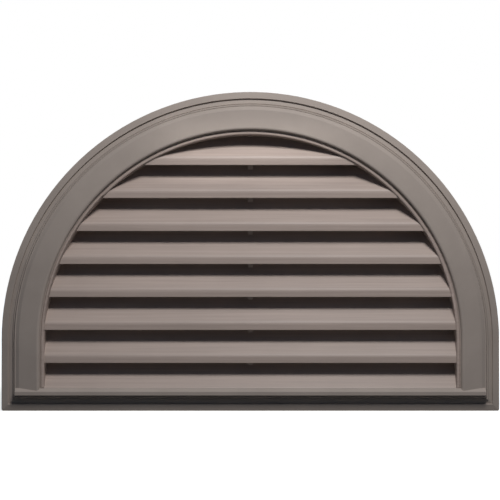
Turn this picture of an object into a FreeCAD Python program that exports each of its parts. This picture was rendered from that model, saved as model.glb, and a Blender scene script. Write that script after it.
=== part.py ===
import FreeCAD, Part
import math
import os

# Half-round louvred gable vent, in millimetres. X runs to the right, Z up, and Y towards the wall, whose
# surface is the plane y = 0. The origin is the centre of the arch on that plane.

# Outline of the trim ring, which is the outline of the whole vent
arch_radius = 432.0
leg_height = 121.5
foot_corner_round = 3.5

# Nailing flange against the wall, and the room for the cladding in front of it
flange_thickness = 3.0
flange_width = 44.0
flange_bottom_width = 20.0
siding_pocket = 27.0

# Nail holes in the flange
nail_hole_radius = 2.5
nail_edge_distance = 12.0
nail_bottom_edge_distance = 9.0
nail_arch_angle = 36.0
nail_leg_drop = 60.0
nail_bottom_half_spacing = 200.0

# Section of the trim ring: insets from its outer edge, heights from its back edge
ring_wall = 2.8
edge_height = 9.0
band_width = 11.4
band_tilt = 12.0
quirk_run = 1.0
quirk_depth = 3.2
floor_width = 6.6
floor_tilt = 16.0
bead_draft = 1.2
bead_rise = 2.2
bead_width = 1.8
bead_fall = 0.8
step_draft = 1.9
step_rise = 5.1
step_width = 1.6
step_fall = 0.6
splay_width = 6.3
splay_tilt = 26.0
face_width = 35.5
face_tilt = 8.5
face_edge_round = 4.5
seat_height = 16.8
ledge_thickness = 1.0
ledge_reach = 1.1
return_end_height = 6.0

# Sill bar of the trim ring: heights from the bottom edge, reach from the ring's back edge
sill_bottom = 27.5
sill_nose = 7.1
sill_slope_rise = 5.4
sill_slope_run = 5.5
sill_reach = 25.0
sill_end_inset = 25.1
sill_lower_round = 1.2
sill_upper_round = 2.0

# Clip hooks on the ring's inner wall, which catch behind the collar's shelf
hook_catch = 1.7
hook_height = 5.5
hook_length = 24.0
hook_arch_angle = 30.0
hook_leg_drop = 40.0
hook_play = 0.2

# Stiffening webs inside the hollow of the ring, half way between the hooks
web_thickness = 2.0
web_back = 3.0
web_root = 0.7

# Collar with its front shelf and rounded lip
collar_wall = 2.8
shelf_thickness = 2.8
shelf_clearance = 0.5
ledge_clearance = 0.6
lip_width = 6.0
lip_rise = 1.6
lip_bevel = 1.2
lip_round = 2.6
sill_clearance = 0.7
lip_end_clearance = 0.6

# Louvre slats: a vertical nose under a sloped face
slat_pitch = 57.15
slat_first_nose = 26.0
slat_wall = 2.5
slat_nose_height = 13.0
slat_angle = 38.0
slat_overlap = 8.0
slat_setback = 3.5
slat_ridge_round = 10.0
slat_edge_round = 1.0

# Centre rib that ties the slats together at the back
rib_width = 9.0
rib_depth = 14.0

# Insect screen and the rebate in the back of the flange that takes it
rebate_depth = 1.0
rebate_width = 8.0
screen_thickness = 0.5
screen_clearance = 0.5
screen_pitch = 96.0
screen_strand = 4.0
screen_border = 9.0


def rise(run, tilt):
    """Height gained over a run at a tilt in degrees."""
    return run * math.tan(math.radians(tilt))


# Places that follow from the sizes above
bottom_z = -leg_height
ring_back = flange_thickness + siding_pocket
seat_depth = ring_back + seat_height
quirk_inset = band_width + quirk_run
bead_inset = quirk_inset + floor_width
bead_crest = bead_inset + bead_draft
bead_end = bead_crest + bead_width
step_crest = bead_end + step_draft
step_end = step_crest + step_width
face_inset = step_end + splay_width
ring_width = face_inset + face_width
band_height = edge_height + rise(band_width, band_tilt)
quirk_height = band_height - quirk_depth
bead_foot = quirk_height + rise(floor_width, floor_tilt)
bead_height = bead_foot + bead_rise
bead_end_height = bead_height - bead_fall
step_height = bead_end_height + step_rise
step_end_height = step_height - step_fall
face_start = step_end_height + rise(splay_width, splay_tilt)
face_height = face_start + rise(face_width, face_tilt)
sill_root = (bead_foot + face_start) / 2
ledge_inset = ring_width + ledge_reach
opening_inset = ledge_inset + ledge_clearance + lip_width
sill_top = sill_bottom + sill_nose + sill_slope_rise
lip_depth = seat_depth + lip_rise
nose_depth = lip_depth - slat_setback
opening_radius = arch_radius - opening_inset
collar_radius = opening_radius + collar_wall
flange_radius = collar_radius + flange_width
opening_floor = bottom_z + sill_bottom + ring_wall + sill_clearance + collar_wall
collar_floor = opening_floor - collar_wall
flange_floor = collar_floor - flange_bottom_width
nail_radius = flange_radius - nail_edge_distance
nail_floor = flange_floor + nail_bottom_edge_distance
far = 2.0 * arch_radius

X = FreeCAD.Vector(1, 0, 0)
Y = FreeCAD.Vector(0, 1, 0)
Z = FreeCAD.Vector(0, 0, 1)
ORIGIN = FreeCAD.Vector(0, 0, 0)


def rounded_face(corners, place):
    """Planar face of a closed outline: each corner is (u, v, radius), and place puts u and v in space."""
    points = [place(u, v) for u, v, radius in corners]
    entries = []
    exits = []
    edges = []
    for i, (u, v, radius) in enumerate(corners):
        corner = points[i]
        before = (points[i - 1] - corner).normalize()
        after = (points[(i + 1) % len(points)] - corner).normalize()
        if radius == 0:
            entries.append(corner)
            exits.append(corner)
            continue
        half = before.getAngle(after) / 2
        run = radius / math.tan(half)
        middle = (before + after).normalize()
        entries.append(corner + before * run)
        exits.append(corner + after * run)
        crown = corner + middle * (radius / math.sin(half) - radius)
        edges.append(Part.Arc(entries[i], crown, exits[i]).toShape())
    for i in range(len(points)):
        following = entries[(i + 1) % len(points)]
        if exits[i].distanceToPoint(following) > 1e-6:
            edges.append(Part.LineSegment(exits[i], following).toShape())
    return Part.Face(Part.Wire(Part.__sortEdges__(edges)))


def on_arch(inset, depth):
    """Point of a section at the right spring line of the arch."""
    return FreeCAD.Vector(arch_radius - inset, -depth, 0)


def on_ring(inset, height):
    """Point of the trim ring's section at the right spring line."""
    return on_arch(inset, ring_back + height)


def along_bottom(inset, height):
    """Point of the trim ring's section on the bottom rail's centre line."""
    return FreeCAD.Vector(0, -(ring_back + height), bottom_z + inset)


def on_side(depth, z):
    """Point in the plane of symmetry."""
    return FreeCAD.Vector(0, -depth, z)


def mirrored(shape):
    return shape.mirror(ORIGIN, X)


def across(face, half_length):
    """Bar with the given section, centred on the plane of symmetry."""
    bar = face.extrude(X * (2 * half_length))
    bar.translate(X * -half_length)
    return bar


def arch_with_legs(face, lowest):
    """Section turned over the arch and carried straight down both legs."""
    arch = face.revolve(ORIGIN, -Y, 180)
    leg = face.extrude(Z * lowest)
    return arch.fuse([leg, mirrored(leg)])


def half_round(radius, floor, back, front):
    """Block with a half-round outline between two depths in front of the wall."""
    left_foot = FreeCAD.Vector(-radius, -back, floor)
    right_foot = FreeCAD.Vector(radius, -back, floor)
    right_spring = FreeCAD.Vector(radius, -back, 0)
    left_spring = FreeCAD.Vector(-radius, -back, 0)
    crown = FreeCAD.Vector(0, -back, radius)
    outline = Part.Wire([
        Part.LineSegment(left_spring, left_foot).toShape(),
        Part.LineSegment(left_foot, right_foot).toShape(),
        Part.LineSegment(right_foot, right_spring).toShape(),
        Part.Arc(right_spring, crown, left_spring).toShape(),
    ])
    return Part.Face(outline).extrude(Y * (back - front))


def prism(outline):
    """Upright prism through the whole depth from an outline in X and Z."""
    corners = [FreeCAD.Vector(x, far, z) for x, z in outline]
    return Part.Face(Part.makePolygon(corners + corners[:1])).extrude(Y * (-2 * far))


def front_outline():
    """Front of the ring from its outer edge inward, without the bead and the step at its middle."""
    return [
        (0, 0, 0),
        (0, edge_height, 0),
        (band_width, band_height, 0),
        (quirk_inset, quirk_height, 0),
        (bead_inset, bead_foot, 0),
        (face_inset, face_start, 0),
        (ring_width, face_height, face_edge_round),
        (ring_width, return_end_height, 0),
    ]


def hollow_outline(skin):
    """Corners one skin under the front of the ring, from its inner wall back to its outer edge."""
    corners = front_outline()
    under = []
    for before, corner, after in zip(corners, corners[1:], corners[2:]):
        heading = math.atan2(corner[1] - before[1], corner[0] - before[0])
        turned = math.atan2(after[1] - corner[1], after[0] - corner[0])
        bend = math.sin(heading - turned)
        u = corner[0] + skin * (math.cos(turned) - math.cos(heading)) / bend
        v = corner[1] + skin * (math.sin(turned) - math.sin(heading)) / bend
        under.insert(0, (u, v, 0))
    return under


def ring_section():
    """Band, quirk, bead, step, splay and wide face, the ledge that laps the shelf, and the hollow behind."""
    ledge_height = seat_height + ledge_thickness
    front = front_outline()
    mouldings = [
        (bead_crest, bead_height, 0),
        (bead_end, bead_end_height, 0),
        (step_crest, step_height, 0),
        (step_end, step_end_height, 0),
    ]
    ledge = [
        (ring_width, ledge_height, 0),
        (ledge_inset, ledge_height, 0),
        (ledge_inset, seat_height, 0),
        (ring_width, seat_height, 0),
    ]
    wall_end = [front[-1], (ring_width - ring_wall, return_end_height, 0)]
    outside = front[:5] + mouldings + front[5:-1] + ledge + wall_end
    return outside + hollow_outline(ring_wall) + [(ring_wall, 0, 0)]


def sill_outline():
    """Outer faces of the sill bar, from its underside over the nose to its back edge."""
    back = nose_depth - ring_back + sill_clearance
    return [
        (sill_bottom, sill_root, 0),
        (sill_bottom, sill_reach, sill_lower_round),
        (sill_bottom + sill_nose, sill_reach, sill_upper_round),
        (sill_top, sill_reach - sill_slope_run, 0),
        (sill_top, back, 0),
    ]


def make_sill():
    outer = sill_outline()
    back = outer[-1][1]
    bend = math.atan2(sill_slope_run, sill_slope_rise)
    inner = [
        (sill_top - ring_wall, back, 0),
        (sill_bottom + sill_nose - ring_wall * math.tan(bend / 2), sill_reach - ring_wall, 0),
        (sill_bottom + ring_wall, sill_reach - ring_wall, 0),
        (sill_bottom + ring_wall, sill_root, 0),
    ]
    half_length = arch_radius - sill_end_inset
    shell = across(rounded_face(outer + inner, along_bottom), half_length)
    cap = rounded_face(outer + [(sill_top, sill_root, 0)], along_bottom).extrude(X * ring_wall)
    cap.translate(X * (half_length - ring_wall))
    return shell.fuse([cap, mirrored(cap)])


def hook_angles():
    """Directions of the arch's hooks from the right spring line, even about the crown."""
    sweep = math.degrees(hook_length / (arch_radius - ring_width))
    count = int((180 - sweep) / hook_arch_angle)
    first = 90 - hook_arch_angle * (count - 1) / 2
    return [first + i * hook_arch_angle for i in range(count)]


def make_hooks():
    """Wedges on the ring's inner wall, spread over the arch and one on each leg."""
    top = seat_height - shelf_thickness - hook_play
    root = ring_width - ring_wall / 2
    tip = ring_width + shelf_clearance + hook_catch
    wedge = rounded_face([(root, top, 0), (tip, top, 0), (root, top - hook_height, 0)], on_ring)
    sweep = math.degrees(hook_length / (arch_radius - ring_width))
    hooks = []
    for angle in hook_angles():
        hook = wedge.revolve(ORIGIN, -Y, sweep)
        hook.rotate(ORIGIN, -Y, angle - sweep / 2)
        hooks.append(hook)
    leg_hook = wedge.extrude(Z * -hook_length)
    leg_hook.translate(Z * (hook_length / 2 - hook_leg_drop))
    return hooks + [leg_hook, mirrored(leg_hook)]


def make_webs():
    """Radial plates across the hollow of the arch, rooted a little way into its walls."""
    skin = ring_wall - web_root
    ends = [(skin, web_back, 0), (ring_width - skin, return_end_height + web_root, 0)]
    plate = rounded_face(hollow_outline(skin) + ends, on_ring).extrude(Z * web_thickness)
    plate.translate(Z * (-web_thickness / 2))
    hooks = hook_angles()
    webs = []
    for angle in [hooks[0] - hook_arch_angle] + hooks:
        web = plate.copy()
        web.rotate(ORIGIN, -Y, angle + hook_arch_angle / 2)
        webs.append(web)
    return webs


def make_corner_waste():
    """What the rounding of the two bottom corners takes away."""
    turn = FreeCAD.Vector(arch_radius - foot_corner_round, 0, bottom_z + foot_corner_round)
    block = Part.makeBox(far, far, far, turn + FreeCAD.Vector(0, -far, -far))
    waste = block.cut(Part.makeCylinder(foot_corner_round, far, turn, -Y))
    return [waste, mirrored(waste)]


def make_ring():
    """Hollow surround: arch, legs mitred to the bottom rail at the outer corners, sill, hooks and webs."""
    section = ring_section()
    sill_z = bottom_z + sill_bottom
    inside = arch_radius - 2 * ring_width
    below_leg = prism([
        (arch_radius + sill_bottom, bottom_z - sill_bottom),
        (arch_radius - sill_bottom, sill_z),
        (inside, sill_z),
        (inside, bottom_z - sill_bottom),
    ])
    frame = arch_with_legs(rounded_face(section, on_ring), bottom_z).cut([below_leg, mirrored(below_leg)])
    mitre = sill_bottom + ring_wall
    rail_zone = prism([
        (-arch_radius - mitre, bottom_z - mitre),
        (-arch_radius + mitre, bottom_z + mitre),
        (arch_radius - mitre, bottom_z + mitre),
        (arch_radius + mitre, bottom_z - mitre),
    ])
    rail = across(rounded_face(section, along_bottom), arch_radius).common(rail_zone)
    ring = frame.fuse([rail, make_sill()] + make_hooks() + make_webs())
    return ring.cut(make_corner_waste()).removeSplitter()


def make_slats(core):
    """Louvres repeated up the opening, each trimmed to the collar."""
    slope = math.radians(slat_angle)
    climb = slat_pitch + slat_overlap - slat_nose_height
    run = climb * math.tan(slope)
    drop = slat_wall * math.tan(slope / 2)
    first = bottom_z + slat_first_nose
    count = int((opening_radius - slat_nose_height - first) / slat_pitch) + 1
    slats = []
    for i in range(count):
        foot = first + i * slat_pitch
        ridge = foot + slat_nose_height
        top = ridge + climb
        back = nose_depth - run
        outline = [
            (nose_depth, foot, slat_edge_round),
            (nose_depth, ridge, slat_ridge_round),
            (back, top, 0),
            (back - slat_wall * math.cos(slope), top - slat_wall * math.sin(slope), 0),
            (nose_depth - slat_wall, ridge - drop, 0),
            (nose_depth - slat_wall, foot, 0),
        ]
        slats.append(across(rounded_face(outline, on_side), arch_radius).common(core))
    return slats


def make_nail_holes():
    """Nail holes in mirrored pairs round the arch, down the legs and along the bottom."""
    places = []
    steps = int(90 / nail_arch_angle)
    for i in range(1, steps + 1):
        angle = math.radians(i * nail_arch_angle)
        places.append((nail_radius * math.cos(angle), nail_radius * math.sin(angle)))
    places.append((nail_radius, -nail_leg_drop))
    places.append((nail_bottom_half_spacing, nail_floor))
    holes = []
    for x, z in places:
        for side in (-1, 1):
            start = FreeCAD.Vector(side * x, flange_thickness, z)
            holes.append(Part.makeCylinder(nail_hole_radius, 3 * flange_thickness, start, -Y))
    return holes


def make_body():
    """Louvre moulding: flange, collar, front shelf with lip, slats and centre rib."""
    flange = half_round(flange_radius, flange_floor, 0, flange_thickness)
    collar = half_round(collar_radius, collar_floor, 0, nose_depth)
    opening = half_round(opening_radius, opening_floor, -far, far)
    rebate = half_round(opening_radius + rebate_width, opening_floor - rebate_width, 0, rebate_depth)
    shell = flange.fuse(collar).cut([opening, rebate] + make_nail_holes())

    shelf_inset = ring_width + shelf_clearance
    lip_inset = opening_inset - lip_width
    lip = rounded_face([
        (shelf_inset, seat_depth - shelf_thickness, 0),
        (shelf_inset, seat_depth, 0),
        (lip_inset, seat_depth, 0),
        (lip_inset + lip_bevel, lip_depth, 0),
        (opening_inset, lip_depth, lip_round),
        (opening_inset, seat_depth - shelf_thickness, 0),
    ], on_arch)
    front = arch_with_legs(lip, bottom_z + sill_top + lip_end_clearance)

    root = collar_wall / 2
    core = half_round(opening_radius + root, opening_floor - root, rebate_depth, nose_depth)
    rib_face = rounded_face([
        (rebate_depth, opening_floor - collar_wall, 0),
        (rebate_depth + rib_depth, opening_floor - collar_wall, 0),
        (rebate_depth + rib_depth, collar_radius, 0),
        (rebate_depth, collar_radius, 0),
    ], on_side)
    rib = across(rib_face, rib_width / 2).common(core)
    return shell.fuse([front, rib] + make_slats(core)).removeSplitter()


def make_screen():
    """Mesh sheet: crossed strands inside a solid border."""
    radius = opening_radius + rebate_width - screen_clearance
    floor = opening_floor - rebate_width + screen_clearance
    sheet = half_round(radius, floor, rebate_depth - screen_thickness, rebate_depth)
    window = half_round(radius - screen_border, floor + screen_border, 0, 2 * rebate_depth)
    strands = []
    reach = int(radius / screen_pitch)
    for i in range(-reach, reach + 1):
        corner = FreeCAD.Vector(i * screen_pitch - screen_strand / 2, -far, -far)
        strands.append(Part.makeBox(screen_strand, 2 * far, 2 * far, corner))
        corner = FreeCAD.Vector(-far, -far, floor + (i + reach + 1) * screen_pitch)
        strands.append(Part.makeBox(2 * far, 2 * far, screen_strand, corner))
    return sheet.cut(window.cut(strands))


def save(name, shape):
    solids = shape.Solids
    print(name, len(solids), "solid", round(shape.Volume / 1000, 1), "cm3", shape.isValid())
    solids[0].exportStep("parts/" + name + ".step")


os.makedirs("parts", exist_ok=True)
save("louver_body", make_body())
save("trim_ring", make_ring())
save("insect_screen", make_screen())
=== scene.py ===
import math

import bmesh
import bpy
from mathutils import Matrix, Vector


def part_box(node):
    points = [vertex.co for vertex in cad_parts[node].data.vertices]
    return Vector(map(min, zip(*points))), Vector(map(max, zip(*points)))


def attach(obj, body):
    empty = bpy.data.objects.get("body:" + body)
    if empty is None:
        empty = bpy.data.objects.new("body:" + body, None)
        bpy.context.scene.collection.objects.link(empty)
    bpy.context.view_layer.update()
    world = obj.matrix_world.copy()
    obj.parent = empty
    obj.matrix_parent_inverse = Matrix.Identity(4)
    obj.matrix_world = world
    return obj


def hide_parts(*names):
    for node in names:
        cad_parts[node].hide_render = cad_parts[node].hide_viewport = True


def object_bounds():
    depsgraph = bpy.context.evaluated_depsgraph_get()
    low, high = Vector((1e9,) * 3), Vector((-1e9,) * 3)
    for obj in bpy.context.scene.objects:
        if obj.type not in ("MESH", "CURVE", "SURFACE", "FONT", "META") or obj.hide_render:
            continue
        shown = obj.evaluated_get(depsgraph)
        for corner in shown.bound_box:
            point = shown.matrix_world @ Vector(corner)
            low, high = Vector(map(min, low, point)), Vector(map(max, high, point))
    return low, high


# Half-round louvred gable vent: finishes, woven insect screen, studio and camera. Metres, in the frame of
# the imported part: X to the right, Y into the wall, Z up, origin at the arch's centre on the wall plane.

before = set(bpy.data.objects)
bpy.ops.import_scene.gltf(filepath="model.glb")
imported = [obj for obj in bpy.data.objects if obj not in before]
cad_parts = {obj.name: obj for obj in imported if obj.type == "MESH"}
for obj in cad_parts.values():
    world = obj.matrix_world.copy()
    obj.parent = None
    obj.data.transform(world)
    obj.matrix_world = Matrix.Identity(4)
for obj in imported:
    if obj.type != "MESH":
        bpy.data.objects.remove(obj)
cad_low, cad_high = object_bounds()

# Plastic: linear colours, the share of them that the darkest places keep, and the gloss
BODY_COLOUR = (0.384, 0.304, 0.263)
BODY_DARKEST = 0.77
BODY_ROUGHNESS = 0.50
BODY_SPECULAR = 0.38
TRIM_COLOUR = (0.354, 0.298, 0.260)
TRIM_DARKEST = 0.87
TRIM_ROUGHNESS = 0.55
TRIM_SPECULAR = 0.14
SMOOTHER_BY = 0.04
ROUGHER_BY = 0.05

# Surface of the plastic: soft mottling, flow streaks along the slats, grain of the mould, eased edges
MOTTLE_SIZE = 0.09
MOTTLE_DETAIL = 3.0
MOTTLE_SHARE = 0.25
STREAK_LENGTH = 0.22
STREAK_WIDTH = 0.004
STREAK_DETAIL = 4.0
STREAK_HARSHNESS = 0.6
STREAK_SHARE = 0.75
GRAIN_SIZE = 0.0011
GRAIN_DEPTH = 0.00004
GRAIN_DETAIL = 2.0
GRAIN_STRENGTH = 0.6
EDGE_ROUND = 0.0007
EDGE_SAMPLES = 6

# Noise: the two values between which it is stretched, and its usual harshness
NOISE_LOW = 0.3
NOISE_HIGH = 0.7
NOISE_HARSHNESS = 0.5

# Screen: a plain weave of thin coated wire, with the scale of its worn places per metre
WIRE = 0.00028
WIRE_PITCH_X = 0.00141
WIRE_PITCH_Z = 0.00159
SCREEN_COLOUR = (0.030, 0.030, 0.032)
SCREEN_COLOUR_WORN = (0.055, 0.055, 0.058)
SCREEN_ROUGHNESS = 0.45
SCREEN_ROUGHNESS_WORN = 0.6
WEAR_SCALE = 60.0
WEAR_DETAIL = 3.0

# Camera: square to the wall plane, with the photograph's width at the depth of the ring's band
VIEW_WIDTH = 0.8668
VIEW_PLANE = -0.0425
VIEW_DISTANCE = 2.5
VIEW_HEIGHT = 0.1576
VIEW_SIDE = -0.0006
SENSOR_MM = 36.0

# Lamps: a soft key from above in front, a flat beam on the top slat, a soft fill from behind; powers in watts
LAMP_TARGET = (0.0, -0.04, 0.15)
KEY_PLACE = (0.26, -1.12, 1.43)
KEY_SIZE = 0.45
KEY_POWER = 25.5
SPOT_PLACE = (0.0, -1.07, 1.554)
SPOT_TARGET = (0.0, -0.042, 0.328)
SPOT_CONE = math.radians(14.0)
SPOT_BLEND = 0.6
SPOT_FLATNESS = 0.065
SPOT_SIZE = 0.03
SPOT_POWER = 90.0
FILL_PLACE = (0.58, 1.87, 0.96)
FILL_SIZE = 0.9
FILL_POWER = 17.0

# Surroundings: white to the eye, with a dim cool light on the vent and a floor that fades to white
WHITE = (1.0, 1.0, 1.0)
AMBIENT = 0.065
AMBIENT_TINT = (0.45, 0.85, 1.50)
FLOOR_SIZE = 12.0
FLOOR_COLOUR = (0.88, 0.85, 0.80)
FLOOR_BOUNCE_COLOUR = (0.08, 0.08, 0.08)
FLOOR_GLOW = 0.62
FLOOR_FADE_FROM = 0.7
FLOOR_FADE_TO = 1.8

# Sockets of the mix node that carry colours
MIX_COLOUR_A = 6
MIX_COLOUR_B = 7
MIX_COLOUR_RESULT = 2


class Nodes:
    """Shorthand for building a node tree."""

    def __init__(self, tree):
        self.tree = tree
        tree.nodes.clear()

    def add(self, kind, inputs=None, **settings):
        node = self.tree.nodes.new(kind)
        for name, value in settings.items():
            setattr(node, name, value)
        for name, value in (inputs or {}).items():
            self.put(node.inputs[name], value)
        return node

    def put(self, socket, value):
        if isinstance(value, bpy.types.NodeSocket):
            self.tree.links.new(value, socket)
        else:
            socket.default_value = value


def rgba(colour):
    return (*colour, 1.0)


def even(size):
    """Noise scale for features of one size along all three axes."""
    return (1 / size,) * 3


def new_material(name):
    material = bpy.data.materials.new(name)
    material.use_nodes = True
    return material, Nodes(material.node_tree)


def noise(n, scale, detail, harshness=NOISE_HARSHNESS):
    """Noise whose features measure one over scale, in metres, along each axis."""
    place = n.add("ShaderNodeTexCoord").outputs["Object"]
    scaled = n.add("ShaderNodeMapping", {"Vector": place, "Scale": scale}).outputs["Vector"]
    return n.add("ShaderNodeTexNoise", {
        "Vector": scaled,
        "Scale": 1.0,
        "Detail": detail,
        "Roughness": harshness,
    }).outputs["Fac"]


def stretch(n, value, low, high):
    """Noise spread over the range from low to high."""
    return n.add("ShaderNodeMapRange", {
        "Value": value,
        "From Min": NOISE_LOW,
        "From Max": NOISE_HIGH,
        "To Min": low,
        "To Max": high,
    }).outputs["Result"]


def mix_colours(n, factor, first, second):
    mix = n.add("ShaderNodeMix", {"Factor": factor}, data_type="RGBA")
    n.put(mix.inputs[MIX_COLOUR_A], rgba(first))
    n.put(mix.inputs[MIX_COLOUR_B], rgba(second))
    return mix.outputs[MIX_COLOUR_RESULT]


def moulded_plastic(name, plain, darkest, streak_scale, roughness, specular):
    """Satin plastic coloured right through: soft mottling, flow streaks and the fine grain of the mould."""
    material, n = new_material(name)
    mottle = noise(n, even(MOTTLE_SIZE), MOTTLE_DETAIL)
    streaks = noise(n, streak_scale, STREAK_DETAIL, STREAK_HARSHNESS)
    grain = noise(n, even(GRAIN_SIZE), GRAIN_DETAIL)
    shade = n.add("ShaderNodeMath", {
        0: stretch(n, mottle, 0.0, MOTTLE_SHARE),
        1: stretch(n, streaks, 0.0, STREAK_SHARE),
    }, operation="ADD")
    dark = tuple(darkest * value for value in plain)
    rounded = n.add("ShaderNodeBevel", {"Radius": EDGE_ROUND}, samples=EDGE_SAMPLES)
    bump = n.add("ShaderNodeBump", {
        "Strength": GRAIN_STRENGTH,
        "Distance": GRAIN_DEPTH,
        "Height": grain,
        "Normal": rounded.outputs["Normal"],
    })
    shader = n.add("ShaderNodeBsdfPrincipled", {
        "Base Color": mix_colours(n, shade.outputs["Value"], dark, plain),
        "Roughness": stretch(n, streaks, roughness - SMOOTHER_BY, roughness + ROUGHER_BY),
        "Specular IOR Level": specular,
        "Normal": bump.outputs["Normal"],
    })
    n.add("ShaderNodeOutputMaterial", {"Surface": shader.outputs["BSDF"]})
    return material


def coated_wire(name):
    """Dark coated wire, rubbed a little paler in places."""
    material, n = new_material(name)
    worn = noise(n, (WEAR_SCALE,) * 3, WEAR_DETAIL)
    shader = n.add("ShaderNodeBsdfPrincipled", {
        "Base Color": mix_colours(n, stretch(n, worn, 0.0, 1.0), SCREEN_COLOUR, SCREEN_COLOUR_WORN),
        "Roughness": stretch(n, worn, SCREEN_ROUGHNESS, SCREEN_ROUGHNESS_WORN),
    })
    n.add("ShaderNodeOutputMaterial", {"Surface": shader.outputs["BSDF"]})
    return material


def finish_node(node, material):
    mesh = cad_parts[node].data
    mesh.materials.clear()
    mesh.materials.append(material)


def add_wire(mesh, start, end, across):
    """Square wire from start to end, with across as one of its two thickness directions."""
    along = (end - start).normalized()
    side = across * (WIRE / 2)
    up = along.cross(across) * (WIRE / 2)
    rings = []
    for point in (start, end):
        corners = (point + side + up, point + side - up, point - side - up, point - side + up)
        rings.append([mesh.verts.new(corner) for corner in corners])
    for i in range(4):
        j = (i + 1) % 4
        mesh.faces.new((rings[0][i], rings[0][j], rings[1][j], rings[1][i]))
    mesh.faces.new(rings[0][::-1])
    mesh.faces.new(rings[1])


def steps(low, high, pitch):
    """Evenly spaced places inside low and high, centred between them."""
    count = int((high - low) / pitch)
    first = (low + high - count * pitch) / 2
    return [first + i * pitch for i in range(count + 1)]


def insect_screen():
    """Fine mesh cut to the half-round rebate: upright wires behind, level wires in front of them."""
    low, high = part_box("insect_screen")
    radius = high.x
    middle = (low.y + high.y) / 2
    depth = Vector((0, 1, 0))
    mesh = bmesh.new()
    for x in steps(low.x + WIRE, high.x - WIRE, WIRE_PITCH_X):
        top = math.sqrt(radius ** 2 - x ** 2)
        y = middle + WIRE / 2
        add_wire(mesh, Vector((x, y, low.z)), Vector((x, y, top)), depth)
    for z in steps(low.z + WIRE, high.z - WIRE, WIRE_PITCH_Z):
        half = math.sqrt(radius ** 2 - max(z, 0.0) ** 2)
        y = middle - WIRE / 2
        add_wire(mesh, Vector((-half, y, z)), Vector((half, y, z)), depth)
    bmesh.ops.recalc_face_normals(mesh, faces=mesh.faces)
    data = bpy.data.meshes.new("woven_screen")
    mesh.to_mesh(data)
    mesh.free()
    screen = bpy.data.objects.new("woven_screen", data)
    bpy.context.scene.collection.objects.link(screen)
    data.materials.append(coated_wire("coated_wire"))
    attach(screen, "root")
    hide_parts("insect_screen")


def larger(n, first, second):
    return n.add("ShaderNodeMath", {0: first, 1: second}, operation="MAXIMUM").outputs["Value"]


def seen_directly(n):
    """1 for rays that show the background: from the camera, or by way of a reflection or glass."""
    path = n.add("ShaderNodeLightPath").outputs
    seen = larger(n, path["Is Camera Ray"], path["Is Glossy Ray"])
    return larger(n, seen, path["Is Transmission Ray"])


def make_world():
    world = bpy.data.worlds.new("studio")
    world.use_nodes = True
    n = Nodes(world.node_tree)
    white = n.add("ShaderNodeBackground", {"Color": rgba(WHITE), "Strength": 1.0})
    dim = n.add("ShaderNodeBackground", {"Color": rgba(AMBIENT_TINT), "Strength": AMBIENT})
    both = n.add("ShaderNodeMixShader", {0: seen_directly(n), 1: dim.outputs[0], 2: white.outputs[0]})
    n.add("ShaderNodeOutputWorld", {"Surface": both.outputs[0]})
    bpy.context.scene.world = world


def make_floor():
    """Pale floor that shows the vent's shadow, fades to white further out, and throws little light back."""
    bpy.ops.mesh.primitive_plane_add(size=FLOOR_SIZE, location=(0, 0, cad_low.z))
    floor = bpy.context.object
    floor.name = "floor"
    material, n = new_material("pale_floor")
    pale = n.add("ShaderNodeBsdfDiffuse", {"Color": rgba(FLOOR_COLOUR)})
    bounce = n.add("ShaderNodeBsdfDiffuse", {"Color": rgba(FLOOR_BOUNCE_COLOUR)})
    place = n.add("ShaderNodeTexCoord").outputs["Object"]
    distance = n.add("ShaderNodeVectorMath", {0: place}, operation="LENGTH").outputs["Value"]
    fade = n.add("ShaderNodeMapRange", {
        "Value": distance,
        "From Min": FLOOR_FADE_FROM,
        "From Max": FLOOR_FADE_TO,
        "To Min": FLOOR_GLOW,
        "To Max": 1.0,
    }, interpolation_type="SMOOTHSTEP")
    glow = n.add("ShaderNodeEmission", {"Strength": fade.outputs["Result"]})
    lit = n.add("ShaderNodeAddShader", {0: pale.outputs[0], 1: glow.outputs[0]})
    both = n.add("ShaderNodeMixShader", {0: seen_directly(n), 1: bounce.outputs[0], 2: lit.outputs[0]})
    n.add("ShaderNodeOutputMaterial", {"Surface": both.outputs[0]})
    floor.data.materials.append(material)


def aim(item, target):
    item.rotation_euler = (Vector(target) - item.location).to_track_quat("-Z", "Y").to_euler()


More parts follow.
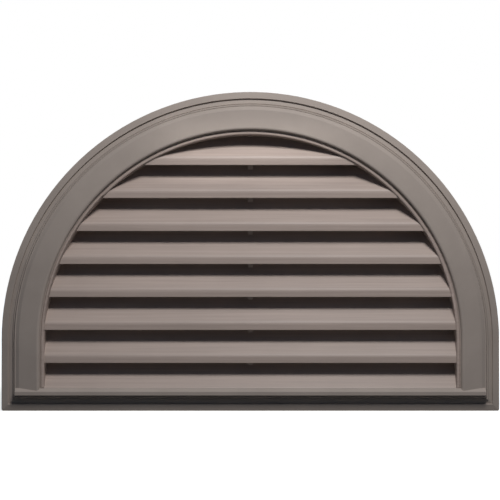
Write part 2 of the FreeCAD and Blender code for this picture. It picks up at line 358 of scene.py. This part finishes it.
def place_lamp(data, place, target, power):
    data.energy = power
    lamp = bpy.data.objects.new(data.name, data)
    lamp.location = place
    bpy.context.scene.collection.objects.link(lamp)
    aim(lamp, target)
    return lamp


def make_soft_lamp(name, place, size, power):
    data = bpy.data.lights.new(name, "AREA")
    data.shape = "DISK"
    data.size = size
    place_lamp(data, place, LAMP_TARGET, power)


def make_spot():
    """Flat beam that picks out the top slat."""
    data = bpy.data.lights.new("spot", "SPOT")
    data.spot_size = SPOT_CONE
    data.spot_blend = SPOT_BLEND
    data.shadow_soft_size = SPOT_SIZE
    lamp = place_lamp(data, SPOT_PLACE, SPOT_TARGET, SPOT_POWER)
    lamp.scale = (1.0, SPOT_FLATNESS, 1.0)


def make_camera():
    data = bpy.data.cameras.new("camera")
    data.sensor_width = SENSOR_MM
    data.lens = SENSOR_MM * VIEW_DISTANCE / VIEW_WIDTH
    camera = bpy.data.objects.new("camera", data)
    camera.location = (VIEW_SIDE, VIEW_PLANE - VIEW_DISTANCE, VIEW_HEIGHT)
    bpy.context.scene.collection.objects.link(camera)
    aim(camera, (VIEW_SIDE, 0, VIEW_HEIGHT))
    bpy.context.scene.camera = camera


# The slats' streaks run along X; the trim has none, so its second noise is as coarse as its mottling
body_streaks = (1 / STREAK_LENGTH, 1 / STREAK_WIDTH, 1 / STREAK_WIDTH)
trim_streaks = even(MOTTLE_SIZE)
body_plastic = moulded_plastic(
    "louvre_plastic", BODY_COLOUR, BODY_DARKEST, body_streaks, BODY_ROUGHNESS, BODY_SPECULAR)
trim_plastic = moulded_plastic(
    "trim_plastic", TRIM_COLOUR, TRIM_DARKEST, trim_streaks, TRIM_ROUGHNESS, TRIM_SPECULAR)
finish_node("louver_body", body_plastic)
finish_node("trim_ring", trim_plastic)
insect_screen()
make_world()
make_floor()
make_soft_lamp("key", KEY_PLACE, KEY_SIZE, KEY_POWER)
make_soft_lamp("fill_behind", FILL_PLACE, FILL_SIZE, FILL_POWER)
make_spot()
make_camera()
bpy.context.scene.view_settings.view_transform = "Standard"
